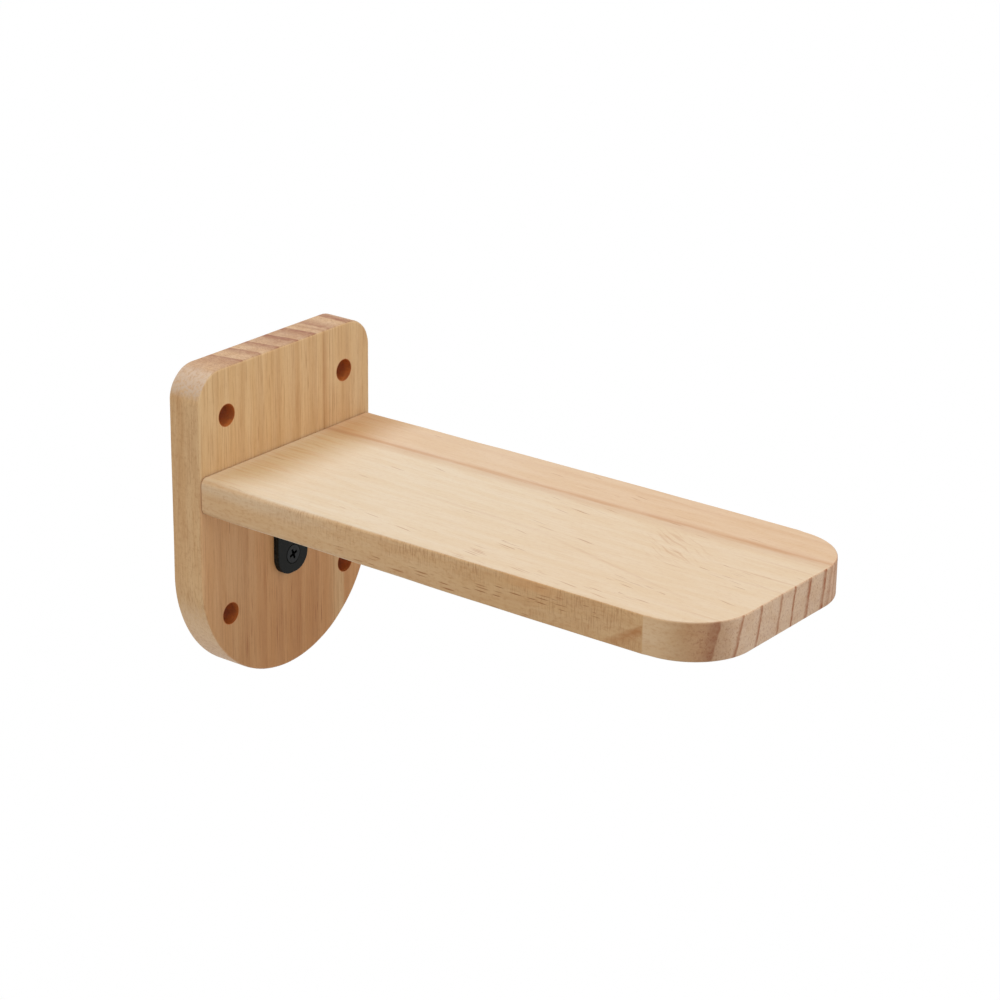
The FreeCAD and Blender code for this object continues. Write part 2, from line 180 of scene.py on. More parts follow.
class DashPatch(NamedTuple):
    """A patch of the shelf's top where resin dashes crowd: its middle and half sizes in millimetres."""
    along: float
    across: float
    reach_along: float
    reach_across: float
    crowd: float


DASH_PATCHES = (
    DashPatch(along=150.0, across=-23.5, reach_along=11.0, reach_across=4.5, crowd=1.0),
    DashPatch(along=131.0, across=-34.5, reach_along=12.0, reach_across=3.5, crowd=0.9),
    DashPatch(along=99.0, across=-34.0, reach_along=7.0, reach_across=6.0, crowd=1.0),
    DashPatch(along=104.0, across=-23.5, reach_along=6.0, reach_across=3.0, crowd=0.9),
    DashPatch(along=155.0, across=-32.0, reach_along=7.0, reach_across=3.0, crowd=0.7),
    DashPatch(along=102.0, across=13.0, reach_along=17.0, reach_across=4.0, crowd=0.55),
    DashPatch(along=113.0, across=31.0, reach_along=7.0, reach_across=2.5, crowd=0.6),
    DashPatch(along=62.0, across=-31.5, reach_along=24.0, reach_across=4.0, crowd=0.4),
    DashPatch(along=168.0, across=-2.0, reach_along=12.0, reach_across=8.0, crowd=0.5),
)


class Station(NamedTuple):
    """A place on a board's outline: the point, the way out of the board, and its two edges' rounding."""
    point: Vector
    outward: Vector
    round_high: float
    round_low: float


def sanded(radius, distance, row):
    """A rounding made uneven along an edge, as sanding by hand leaves it; rows differ from one another."""
    place = Vector((distance / SANDED_LENGTH, SANDED_ROW * row, 0.5))
    return radius * (1 + SANDED_SHARE * noise.noise(place))


def blend(first, second, share):
    """A smooth change from the first value to the second as the share goes from 0 to 1."""
    share = min(max(share, 0.0), 1.0)
    return first + (second - first) * share * share * (3 - 2 * share)


def edge_profile(radius):
    """Insets and drops of a rounded edge, from the broad face to the side."""
    angles = [QUARTER_TURN * step / ROUND_STEPS for step in range(ROUND_STEPS + 1)]
    curve = [(radius * (1 - math.sin(angle)), radius * (1 - math.cos(angle))) for angle in angles]
    return [(radius + FLAT_STRIP, 0.0), *curve]


def flat(point, level):
    """A point of an outline that lies flat, at its height."""
    return Vector((point.x, point.y, level))


def upright(point, level):
    """A point of an outline that stands upright, at its depth."""
    return Vector((point.x, level, point.y))


def add_column(mesh, station, low, high, place):
    """A line of points down a board's edge, from its high face round to its low face."""
    levels = [(inset, high - drop) for inset, drop in edge_profile(station.round_high)]
    levels += [(inset, low + drop) for inset, drop in reversed(edge_profile(station.round_low))]
    return [mesh.verts.new(place(station.point - inset * station.outward, level))
            for inset, level in levels]


def add_strip(mesh, first, second):
    """Faces between two lines of points."""
    for index in range(len(first) - 1):
        mesh.faces.new((first[index], first[index + 1], second[index + 1], second[index]))


def add_skin(mesh, columns, closed):
    """Faces between a board's columns of points."""
    followers = columns[1:] + columns[:1] if closed else columns[1:]
    for column, follower in zip(columns, followers):
        add_strip(mesh, column, follower)


def drill(mesh, centre, steps, place, through=False):
    """A round hole's wall, by (level, radius) from its mouth inward. Returns its rings of points."""
    rings = []
    for level, radius in steps:
        circle = [centre + radius * Vector((math.cos(turn), math.sin(turn))) for turn in HOLE_TURNS]
        rings.append([mesh.verts.new(place(point, level)) for point in circle])
    for outer, inner in zip(rings, rings[1:]):
        add_strip(mesh, outer + outer[:1], inner + inner[:1])
    if not through:
        mesh.faces.new(rings[-1])
    return rings


def drill_pilots(mesh, spots, mouth, bottom, radius, place):
    """Blind holes of one radius. Returns the rings at their mouths."""
    return [drill(mesh, spot, ((mouth, radius), (bottom, radius)), place)[0] for spot in spots]


def fill_face(mesh, *loops):
    """A flat face inside the first loop of points, with holes at the others."""
    edges = []
    for loop in loops:
        for start, stop in zip(loop, loop[1:] + loop[:1]):
            edges.append(mesh.edges.get((start, stop)) or mesh.edges.new((start, stop)))
    bmesh.ops.triangle_fill(mesh, use_beauty=True, edges=edges)


def add_object(name, data):
    """A new object in the scene."""
    made = bpy.data.objects.new(name, data)
    bpy.context.scene.collection.objects.link(made)
    return made


def add_board(name, node, mesh, material):
    """Turn a finished board into a piece that stands for its node."""
    bmesh.ops.recalc_face_normals(mesh, faces=mesh.faces)
    data = bpy.data.meshes.new(name)
    mesh.to_mesh(data)
    mesh.free()
    data.shade_smooth()
    data.set_sharp_from_angle(angle=SHARP_ANGLE)
    data.materials.append(material)
    board = add_object(name, data)
    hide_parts(node)
    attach(board, "root")


def shelf_stations(settings):
    """The shelf's outline, from the joint on its left, round the outer end and back on its right."""
    half = SHELF_HIGH.x
    corner = settings.corner_radius
    joint, tip = SHELF_HIGH.y - settings.end_ease, SHELF_LOW.y
    straight = joint - tip - corner - settings.corner_lead
    left = []
    count = round(straight / EDGE_SPACING)
    for step in range(count + 1):
        distance = straight * step / count
        radius = blend(settings.joint_round, settings.tip_round, distance / (ROUND_FALL * straight))
        left.append((Vector((-half, joint - distance)), Vector((-1, 0)), radius, distance))
    for step in range(CORNER_STEPS + 1):
        angle = QUARTER_TURN * step / CORNER_STEPS
        outward = Vector((-math.cos(angle), -math.sin(angle)))
        inset = blend(settings.corner_step, 0.0, step / CORNER_STEPS)
        point = Vector((corner - half, tip + corner)) + (corner - inset) * outward
        left.append((point, outward, settings.tip_round, straight + corner * angle))
    count = round((half - corner) / EDGE_SPACING)
    for step in range(1, count):
        point = Vector((corner - half + (half - corner) * step / count, tip))
        distance = straight + 2 * corner + step * EDGE_SPACING
        left.append((point, Vector((0, -1)), settings.tip_round, distance))
    stations = []
    for side, half_outline in ((1, left), (-1, left[::-1])):
        flip = Vector((side, 1))
        for point, outward, radius, distance in half_outline:
            high, low = (sanded(radius, distance, side + row) for row in (2, 5))
            stations.append(Station(point * flip, outward * flip, high, low))
    return stations


def build_shelf(settings):
    """The shelf board: round outer corners, edges that sharpen outward, an eased end and pilot holes."""
    mesh = bmesh.new()
    low, high = SHELF_LOW.z, SHELF_HIGH.z
    joint = SHELF_HIGH.y
    columns = [add_column(mesh, station, low, high, flat) for station in shelf_stations(settings)]
    add_skin(mesh, columns, closed=False)
    spots = [middle(screw).xy for screw in SHELF_SCREWS]
    pilots = drill_pilots(mesh, spots, low, low + BRACKET_PILOT_DEPTH, BRACKET_PILOT_RADIUS, flat)
    fill_face(mesh, [column[0] for column in columns])
    fill_face(mesh, [column[-1] for column in columns], *pilots)

    rim = columns[0] + columns[-1][::-1]
    previous = rim
    centre = Vector((0, (low + high) / 2))
    for step in range(1, ROUND_STEPS + 1):
        angle = QUARTER_TURN * step / ROUND_STEPS
        inset = settings.end_ease * (1 - math.cos(angle))
        level = joint - settings.end_ease * (1 - math.sin(angle))
        scale = Vector((1 - inset / SHELF_HIGH.x, 1 - inset / (high - centre.y)))
        inner = []
        for vertex in rim:
            around = (Vector((vertex.co.x, vertex.co.z)) - centre) * scale
            inner.append(mesh.verts.new(upright(centre + around, level)))
        add_strip(mesh, previous + previous[:1], inner + inner[:1])
        previous = inner
    spots = [middle(screw).xz for screw in REAR_SCREWS]
    pilots = drill_pilots(mesh, spots, joint, joint - REAR_PILOT_DEPTH, REAR_PILOT_RADIUS, upright)
    fill_face(mesh, previous, *pilots)
    return mesh


def plate_stations(settings):
    """The plate's outline: straight sides, round top corners and a half-round foot."""
    half, top, foot = PLATE_HIGH.x, PLATE_HIGH.z, PLATE_LOW.z + PLATE_HIGH.x
    corner = settings.corner_radius
    places = []

    def add_run(start, stop, outward):
        count = round((stop - start).length / EDGE_SPACING)
        places.extend((start.lerp(stop, step / count), outward) for step in range(1, count))

    def add_arc(centre, radius, first, last, count):
        for step in range(count + 1):
            angle = math.radians(first + (last - first) * step / count)
            outward = Vector((math.cos(angle), math.sin(angle)))
            places.append((centre + radius * outward, outward))

    add_run(Vector((half, foot)), Vector((half, top - corner)), Vector((1, 0)))
    add_arc(Vector((half - corner, top - corner)), corner, 0, 90, CORNER_STEPS)
    add_run(Vector((half - corner, top)), Vector((corner - half, top)), Vector((0, 1)))
    add_arc(Vector((corner - half, top - corner)), corner, 90, 180, CORNER_STEPS)
    add_run(Vector((-half, top - corner)), Vector((-half, foot)), Vector((-1, 0)))
    add_arc(Vector((0, foot)), half, 180, 360, FOOT_STEPS)
    stations = []
    for index, (point, outward) in enumerate(places):
        rear, front = (sanded(settings.edge_round, index * EDGE_SPACING, row) for row in (11, 13))
        stations.append(Station(point, outward, rear, front))
    return stations


def build_plate(settings):
    """The back plate: four wall holes, two sunk rear screw holes and the bracket's pilot holes."""
    mesh = bmesh.new()
    front, rear = PLATE_LOW.y, PLATE_HIGH.y
    columns = [add_column(mesh, station, front, rear, upright) for station in plate_stations(settings)]
    add_skin(mesh, columns, closed=True)
    front_loops = [[column[-1] for column in columns]]
    rear_loops = [[column[0] for column in columns]]

    def bore(spot, *steps):
        rings = drill(mesh, spot, steps, upright, through=True)
        rear_loops.append(rings[0])
        front_loops.append(rings[-1])

    wall_radius = WALL_HOLES["hole_r_mm"] * MM
    for x in (-0.5, 0.5):
        for z in (-0.5, 0.5):
            spot = Vector((x * WALL_HOLES["spacing_x_mm"], z * WALL_HOLES["spacing_y_mm"])) * MM
            bore(spot, (rear, wall_radius), (front, wall_radius))
    sink = (rear - REAR_SINK_RADIUS + REAR_PILOT_RADIUS, REAR_PILOT_RADIUS)
    for screw in REAR_SCREWS:
        bore(middle(screw).xz, (rear, REAR_SINK_RADIUS), sink, (front, REAR_PILOT_RADIUS))
    spots = [middle(screw).xz for screw in PLATE_SCREWS]
    pilot_bottom = front + BRACKET_PILOT_DEPTH
    front_loops += drill_pilots(mesh, spots, front, pilot_bottom, BRACKET_PILOT_RADIUS, upright)
    fill_face(mesh, *front_loops)
    fill_face(mesh, *rear_loops)
    return mesh


def label(name):
    """A value's name as a node group shows it."""
    return name.replace("_", " ").title()


class Graph:
    """Adds nodes to one tree and hands back their output sockets."""

    def __init__(self, tree):
        self.tree = tree

    def feed(self, socket, source):
        """Link a socket to another one, or set it to a plain value."""
        if isinstance(source, bpy.types.NodeSocket):
            self.tree.links.new(source, socket)
        elif socket.type == "RGBA":
            socket.default_value = (*source[:3], 1.0)
        else:
            socket.default_value = source

    def node(self, kind, **settings):
        """A new node with its settings."""
        made = self.tree.nodes.new(kind)
        for name, setting in settings.items():
            setattr(made, name, setting)
        return made

    def math(self, operation, *sources, clamp=False):
        """A sum, product or other function of one to three values."""
        made = self.node("ShaderNodeMath", operation=operation, use_clamp=clamp)
        for socket, source in zip(made.inputs, sources):
            self.feed(socket, source)
        return made.outputs["Value"]

    def times(self, *sources):
        """The product of several values."""
        product = sources[0]
        for source in sources[1:]:
            product = self.math("MULTIPLY", product, source)
        return product

    def minus(self, first, second):
        """The first value less the second."""
        return self.math("SUBTRACT", first, second)

    def ramp(self, value, slope, start):
        """A value times a slope, added to a start."""
        return self.math("MULTIPLY_ADD", value, slope, start)

    def step(self, value, low, high, start=0.0, stop=1.0):
        """A smooth step from start to stop as the value goes from low to high."""
        made = self.node("ShaderNodeMapRange", interpolation_type="SMOOTHSTEP")
        for name, source in (("Value", value), ("From Min", low), ("From Max", high), ("To Min", start),
                             ("To Max", stop)):
            self.feed(made.inputs[name], source)
        return made.outputs["Result"]

    def fall(self, value, low, high):
        """A smooth step from 1 to 0 as the value goes from low to high."""
        return self.step(value, low, high, 1.0, 0.0)

    def band(self, value, rise, fall):
        """A share that is 1 between a rise and a fall, each given by its two ends."""
        return self.times(self.step(value, *rise), self.fall(value, *fall))

    def join(self, x, y, z):
        """A vector from three values."""
        made = self.node("ShaderNodeCombineXYZ")
        for socket, source in zip(made.inputs, (x, y, z)):
            self.feed(socket, source)
        return made.outputs["Vector"]

    def split(self, vector):
        """The three values of a vector."""
        made = self.node("ShaderNodeSeparateXYZ")
        self.feed(made.inputs["Vector"], vector)
        return made.outputs

    def scaled(self, vector, x, y, z):
        """A vector with each of its values divided by a length."""
        made = self.node("ShaderNodeVectorMath", operation="DIVIDE")
        self.feed(made.inputs[0], vector)
        made.inputs[1].default_value = (x, y, z)
        return made.outputs["Vector"]

    def noise(self, vector, sizes, detail=2.0, roughness=0.5):
        """Soft noise from 0 to 1, with grains of those sizes along the vector's three values."""
        made = self.node("ShaderNodeTexNoise")
        self.feed(made.inputs["Vector"], self.scaled(vector, *sizes))
        for name, setting in (("Scale", 1.0), ("Detail", detail), ("Roughness", roughness)):
            made.inputs[name].default_value = setting
        return made.outputs["Fac"]

    def mix(self, share, first, second, blend_type="MIX"):
        """Two colours mixed by a share."""
        made = self.node("ShaderNodeMix", data_type="RGBA", blend_type=blend_type)
        self.feed(made.inputs["Factor"], share)
        for name, source in (("A", first), ("B", second)):
            colours = (entry for entry in made.inputs if entry.type == "RGBA")
            self.feed(next(entry for entry in colours if entry.name == name), source)
        return next(result for result in made.outputs if result.type == "RGBA")

    def tint(self, share, colour, tint):
        """A colour multiplied by a tint, by a share."""
        return self.mix(share, colour, tint, "MULTIPLY")

    def group(self, tree, **sources):
        """A shared effect with its own values, each under its labelled name."""
        made = self.node("ShaderNodeGroup", node_tree=tree)
        for name, source in sources.items():
            self.feed(made.inputs[label(name)], source)
        return made.outputs


# Settings of a board that the pine's figure takes, and what a surface effect gives
PINE_COLOURS = ("pale", "warm", "late", "end_late", "resin", "end_tint", "side_tint")
PINE_SHARES = ("bands", "streaks", "flecks", "dash_slope")
SURFACE_OUTPUTS = {"Color": "Color", "Roughness": "Float", "Height": "Float"}


def new_effect(name, inputs, outputs):
    """An empty shader node group, with its graph, its input values and its output sockets."""
    tree = bpy.data.node_groups.new(name, "ShaderNodeTree")
    for direction, sockets in (("INPUT", inputs), ("OUTPUT", outputs)):
        for title, kind in sockets.items():
            tree.interface.new_socket(title, in_out=direction, socket_type=f"NodeSocket{kind}")
    graph = Graph(tree)
    return graph, graph.node("NodeGroupInput").outputs, graph.node("NodeGroupOutput").inputs


def make_growth_line():
    """One late-wood line: it darkens slowly, ends sharply and adds to the lines before it."""
    names = ("Lines", "Across", "Along", "Through", "End Grain", *map(label, GrowthLine._fields))
    graph, value, out = new_effect("growth_line", dict.fromkeys(names, "Float"), {"Lines": "Float"})
    slant = graph.ramp(value["Through"], value["Lean"], value["Place"])
    beyond = graph.minus(value["Across"], graph.ramp(value["Along"], value["Drift"], slant))
    rise = graph.step(beyond, graph.times(value["Fade"], -1.0), 0.0)
    fall = graph.fall(beyond, 0.0, value["Edge"])
    begun = graph.step(graph.minus(value["Along"], value["Start"]), *LINE_START_REACH)
    lasting = graph.fall(graph.minus(value["Along"], value["Stop"]), *LINE_START_REACH)
    strength = graph.ramp(graph.minus(value["End"], value["Face"]), value["End Grain"], value["Face"])
    line = graph.times(rise, fall, begun, lasting, strength)
    graph.feed(out["Lines"], graph.math("MAXIMUM", value["Lines"], line))
    return graph.tree


def make_pine_figure():
    """Pine: cloudy bands, fibre streaks, resin dashes, end-grain flecks and saw marks."""
    places = ("Across", "Along", "Through", "Lines", "End", "Side", "Crowd", "Saw")
    inputs = dict.fromkeys((*places, *map(label, PINE_SHARES)), "Float")
    inputs |= dict.fromkeys(map(label, PINE_COLOURS), "Color")
    graph, value, out = new_effect("pine_figure", inputs, SURFACE_OUTPUTS)
    place = graph.join(value["Across"], value["Along"], value["Through"])
    late = graph.mix(value["End"], value["Late"], value["End Late"])

    # Clouds, and the tints of sides and ends
    band = graph.noise(place, (3.2, 150.0, 4.0))
    cloud = graph.noise(place, (3.0, 24.0, 3.0), detail=3.0, roughness=0.6)
    cloudy = graph.ramp(graph.minus(band, cloud), value["Bands"], cloud)
    colour = graph.mix(graph.step(cloudy, 0.38, 0.62), value["Pale"], value["Warm"])
    colour = graph.tint(value["Side"], colour, value["Side Tint"])
    colour = graph.tint(value["End"], colour, value["End Tint"])

    # Pores, blotches and end-grain flecks
    pores = graph.noise(place, (0.7, 1.8, 0.7), detail=3.0, roughness=0.6)
    coarse = graph.ramp(value["End"], 0.08, graph.ramp(value["Side"], 0.20, 0.09))
    colour = graph.mix(graph.times(graph.step(pores, 0.46, 0.72), coarse), colour, late)
    blotch = graph.noise(place, (12.0, 13.0, 3.0), detail=3.0, roughness=0.6)
    rough = graph.math("MAXIMUM", value["Side"], value["End"])
    colour = graph.mix(graph.times(graph.step(blotch, 0.44, 0.68), rough, 0.15), colour, late)
    flecks = graph.noise(place, (0.5, 1.4, 0.8), roughness=0.7)
    fleck = graph.times(graph.step(flecks, 0.54, 0.66), value["End"], value["Flecks"])
    colour = graph.mix(fleck, colour, value["End Late"])

    # Fibre, growth lines and resin dashes
    streak = graph.noise(place, (0.5, 18.0, 0.5), detail=3.0, roughness=0.65)
    fibre = graph.times(graph.step(streak, 0.46, 0.7), value["Streaks"])
    colour = graph.mix(fibre, colour, late)
    depth = graph.step(graph.noise(place, (1.6, 22.0, 2.2)), 0.32, 0.6, 0.62, 1.0)
    colour = graph.mix(graph.times(value["Lines"], depth), colour, late)
    dash = resin_dashes(graph, value, place)
    colour = graph.mix(dash, colour, value["Resin"])

    # Saw marks
    teeth = graph.noise(place, (5.0, 0.45, 4.0), detail=3.0, roughness=0.65)
    patch = graph.noise(place, (20.0, 12.0, 5.0))
    sawn = graph.times(graph.step(teeth, 0.46, 0.66), graph.step(patch, 0.32, 0.6, 0.25, 1.0))
    saw = graph.times(sawn, value["Side"], value["Saw"])
    colour = graph.mix(saw, colour, value["Resin"])

    graph.feed(out["Color"], colour)
    graph.feed(out["Roughness"], graph.ramp(streak, 0.24, 0.5))
    relief = graph.times(streak, 0.4)
    for mark, height in ((value["Lines"], 0.15), (dash, -0.15), (saw, -1.0), (fleck, -0.6)):
        relief = graph.ramp(mark, height, relief)
    graph.feed(out["Height"], relief)
    return graph.tree


def resin_dashes(graph, value, place):
    """Short dashes along the grain, more where they crowd; on sides they are level and stronger."""
    on_side = graph.math("GREATER_THAN", value["Side"], 0.3)
    bent = graph.noise(place, (5.0, 12.0, 5.0), detail=1.0)
    slope = graph.times(value["Dash Slope"], graph.minus(1.0, on_side))
    drift = graph.ramp(value["Along"], slope, graph.times(bent, 1.2))
    aside = graph.math("ADD", graph.math("ADD", value["Across"], value["Through"]), drift)
    aside = graph.math("DIVIDE", aside, DASH_SPACING)
    length = graph.ramp(on_side, SIDE_DASH_LENGTH - DASH_LENGTH, DASH_LENGTH)
    ahead = graph.math("DIVIDE", value["Along"], length)
    cells = graph.node("ShaderNodeTexVoronoi", voronoi_dimensions="2D", feature="F1")
    graph.feed(cells.inputs["Vector"], graph.join(aside, ahead, 0.0))
    cells.inputs["Scale"].default_value = 1.0
    lot, size, shade = graph.split(cells.outputs["Color"])
    chosen = graph.math("LESS_THAN", lot, value["Crowd"])
    reach = graph.ramp(size, 0.2, 0.14)
    core = graph.fall(cells.outputs["Distance"], graph.times(reach, 0.3), reach)
    strength = graph.ramp(shade, 0.46, graph.ramp(on_side, 0.42, 0.12))
    return graph.times(core, chosen, strength)


def make_metal_finish():
    """A worked metal surface: blotches, fine specks and rubbed edges."""
    inputs = {"Point": "Vector", "Edge": "Float", "Base": "Color", "Worn": "Color", "Rough": "Float"}
    graph, value, out = new_effect("metal_finish", inputs, SURFACE_OUTPUTS)
    blotch = graph.noise(value["Point"], (4.0, 4.0, 4.0), detail=3.0)
    grit = graph.noise(value["Point"], (0.35, 0.35, 0.35))
    scuff = graph.noise(value["Point"], (1.6, 0.5, 0.9), detail=3.0, roughness=0.7)
    rubbed = graph.times(value["Edge"], graph.step(scuff, 0.42, 0.62))
    faint = graph.ramp(graph.step(blotch, 0.45, 0.7), 0.10, graph.times(rubbed, 0.5))
    graph.feed(out["Color"], graph.mix(faint, value["Base"], value["Worn"]))
    spread = graph.minus(graph.math("ADD", blotch, grit), 1.0)
    graph.feed(out["Roughness"], graph.math("MULTIPLY_ADD", spread, 0.22, value["Rough"], clamp=True))
    graph.feed(out["Height"], graph.ramp(blotch, 0.4, grit))
    return graph.tree


EFFECTS = {
    "growth_line": make_growth_line,
    "pine_figure": make_pine_figure,
    "metal_finish": make_metal_finish,
}


def effect(name):
    """A shared node group, built when it is first asked for."""
    return bpy.data.node_groups.get(name) or EFFECTS[name]()


def new_material(name):
    """An empty node material with a shader, and its graph."""
    material = bpy.data.materials.new(name)
    material.use_nodes = True
    return material, Graph(material.node_tree), material.node_tree.nodes["Principled BSDF"]


def add_bump(graph, shader, height, depth):
    """Turn a height from 0 to 1 into a normal, for a relief of that depth in metres."""
    bump = graph.node("ShaderNodeBump")
    bump.inputs["Strength"].default_value = BUMP_STRENGTH
    bump.inputs["Distance"].default_value = depth
    graph.feed(bump.inputs["Height"], height)
    graph.feed(shader.inputs["Normal"], bump.outputs["Normal"])


def board_places(graph):
    """The point on a board in millimetres and its outward direction's size, each as three values."""
    coordinates = graph.node("ShaderNodeTexCoord")
    point = graph.split(graph.scaled(coordinates.outputs["Object"], MM, MM, MM))
    outward = graph.split(coordinates.outputs["Normal"])
    return point, [graph.math("ABSOLUTE", axis) for axis in outward]


def wandering(graph, settings, across, along, through):
    """The place across a board, with the slow waves of its grain and small ones on them."""
    place = graph.join(across, along, through)
    wave, ripple = (graph.minus(graph.noise(place, sizes, detail=1.0), 0.5)
                    for sizes in ((22.0, 120.0, 22.0), (5.0, 30.0, 3.5)))
    return graph.ramp(graph.ramp(ripple, 0.7, wave), settings.wander / MM, across)


def add_pine(graph, shader, settings, lines, board, end, side, crowd, saw):
    """Sawn pine on a shader; board holds the places across, along and through it. Returns the colour."""
    places = dict(zip(("across", "along", "through"), board))
    total = 0.0
    for line in lines:
        made = graph.group(effect("growth_line"), lines=total, end_grain=end, **places, **line._asdict())
        total = made["Lines"]
    chosen = {name: getattr(settings, name) for name in PINE_COLOURS + PINE_SHARES}
    figure = graph.group(effect("pine_figure"), lines=total, end=end, side=side, crowd=crowd, saw=saw,
                         **places, **chosen)
    graph.feed(shader.inputs["Roughness"], figure["Roughness"])
    add_bump(graph, shader, figure["Height"], settings.relief)
    return figure["Color"]


def make_shelf_pine(settings):
    """Pine, grain along the shelf: browner by the joint, partly painted shade; pinker beyond its wide dark
    line.
    """
    material, graph, shader = new_material("shelf_pine")
    point, outward = board_places(graph)
    along = graph.minus(SHELF_HIGH.y / MM, point[1])
    through = graph.minus(point[2], SHELF_HIGH.z / MM)
    across = wandering(graph, settings, point[0], along, through)
    board = (across, along, through)
    end = graph.step(outward[1], 0.35, 0.8)
    upward = graph.step(outward[2], 0.3, 0.8)
    corner_cut = (SHELF_HIGH.y - SHELF_LOW.y - settings.corner_radius - settings.corner_lead) / MM
    uncut = graph.fall(along, corner_cut - 0.2, corner_cut + 0.2)
    # Less side tint high up near the joint, so the side is paler there
    paler_high_by_joint = graph.times(graph.fall(along, 30.0, 60.0), graph.step(through, -6.0, -2.5))
    side = graph.times(graph.step(outward[0], 0.5, 0.9), graph.ramp(uncut, 0.2, 0.8),
                       graph.ramp(paler_high_by_joint, -0.3, 1.0))
    high_up = graph.times(graph.step(through, -7.5, -3.0, 0.12, 1.0),
                          graph.step(along, 10.0, 40.0, 0.4, 1.0))
    far_out = graph.step(along, 115.0, 135.0, 0.0, 0.8)
    saw = graph.times(graph.math("MAXIMUM", high_up, far_out), uncut, settings.saw_marks)
    crowd = dash_crowd(graph, board, graph.step(outward[2], 0.75, 0.95), graph.times(side, uncut))
    colour = add_pine(graph, shader, settings, SHELF_LINES, board, end, side, crowd, saw)

    heart = graph.step(graph.ramp(along, -BAND_DRIFT, across), 17.0, 20.0)
    colour = graph.tint(heart, colour, settings.heart_tint)
    colour = graph.tint(graph.times(upward, graph.step(along, 30.0, 150.0)), colour, settings.tip_tint)
    colour = graph.mix(flames(graph, board, upward), colour, settings.late)
    colour = graph.mix(corner_flare(graph, board, corner_cut, side), colour, settings.late)
    colour = graph.mix(warm_patch(graph, board, side), colour, settings.side_patch)
    browner = graph.times(side, uncut, graph.step(along, 60.0, 115.0))
    colour = graph.tint(browner, colour, settings.outer_side_tint)
    # Darker across the round corner, from its cut towards the end grain
    turned = graph.step(along, corner_cut + 2.0, corner_cut + 14.0)
    darker_mid_corner = graph.times(graph.step(outward[0], 0.15, 0.6), turned)
    colour = graph.tint(darker_mid_corner, colour, settings.corner_tint)
    graph.feed(shader.inputs["Base Color"], joint_browning_and_shade(graph, settings, board, upward, colour))
    return material


def dash_crowd(graph, board, upward, sawn_side):
    """How thickly resin dashes lie: in patches on the shelf's top and in rising rows on its sawn sides."""
    across, along, through = board
    crowd = 0.035
    for patch in DASH_PATCHES:
        aside = graph.math("DIVIDE", graph.minus(across, patch.across), patch.reach_across)
        forward = graph.math("DIVIDE", graph.minus(along, patch.along), patch.reach_along)
        far = graph.ramp(aside, aside, graph.times(forward, forward))
        crowd = graph.math("MAXIMUM", crowd, graph.step(far, 0.3, 1.2, patch.crowd, 0.0))
    level = graph.step(along, 80.0, 142.0, -9.4, -4.0)
    off_level = graph.math("ABSOLUTE", graph.minus(through, level))
    row = graph.times(graph.step(off_level, 0.9, 2.4, 0.85, 0.0), graph.fall(along, 145.0, 154.0))
    stretch = graph.band(along, (80.0, 90.0), (122.0, 134.0))
    low_row = graph.times(graph.step(through, -9.6, -8.0, 0.5, 0.0), stretch)
    rows = graph.math("ADD", graph.math("MAXIMUM", row, low_row), 0.04)
    on_side = graph.times(rows, graph.step(along, 34.0, 62.0), sawn_side)
    return graph.ramp(crowd, upward, on_side)


def flames(graph, board, upward):
    """A cluster of streaks that run out of the shelf's top at a slant, towards its outer end."""
    across, along, _ = board
    forward = graph.minus(along, FLAME_ALONG)
    aside = graph.minus(across, FLAME_ACROSS)
    cosine, sine = math.cos(FLAME_SLANT), math.sin(FLAME_SLANT)
    lengthwise = graph.minus(graph.times(forward, cosine), graph.times(aside, sine))
    crosswise = graph.math("ADD", graph.times(forward, sine), graph.times(aside, cosine))
    bent = graph.noise(graph.join(crosswise, lengthwise, 0.0), (7.0, 9.0, 1.0), detail=1.0)
    crosswise = graph.ramp(bent, 2.0, graph.minus(crosswise, 1.0))
    tongues = graph.noise(graph.join(crosswise, lengthwise, 0.0), (1.3, 16.0, 1.0), detail=3.0)
    far = graph.math("SQRT", graph.math("ADD", *(
        graph.math("POWER", graph.math("DIVIDE", distance, reach), 2.0)
        for distance, reach in ((crosswise, 13.0), (lengthwise, 19.0)))))
    return graph.times(graph.step(tongues, 0.5, 0.66), graph.step(far, 0.3, 1.0, 0.28, 0.0), upward)


def corner_flare(graph, board, corner_cut, side):
    """A ragged reddish tongue low on the shelf's sides that ends at the corner's cut."""
    _, along, through = board
    before = graph.minus(corner_cut, along)
    bent = graph.noise(graph.join(*board), (4.0, 3.0, 1.6), detail=3.0, roughness=0.6)
    wavy = graph.ramp(graph.minus(bent, 0.5), 2.2, through)
    height = graph.ramp(before, 0.6, wavy)
    tongue = graph.times(graph.fall(height, -3.6, -2.6), graph.step(height, -8.0, -4.6, 0.15, 1.0))
    mottled = graph.step(bent, 0.35, 0.7, 0.45, 0.8)
    reach = graph.times(graph.step(before, 0.0, 0.4), graph.step(before, 2.0, 14.0, 1.0, 0.4))
    return graph.times(tongue, mottled, reach, side)


def warm_patch(graph, board, side):
    """A ragged orange patch high on the shelf's sides, towards the outer end."""
    _, along, through = board
    ragged_edge = graph.noise(graph.join(*board), (6.0, 5.0, 2.0))
    high_up = graph.step(graph.ramp(ragged_edge, 2.0, through), -3.2, -1.4, 0.0, 0.6)
    return graph.times(graph.band(along, (112.0, 122.0), (128.0, 139.0)), side, high_up)


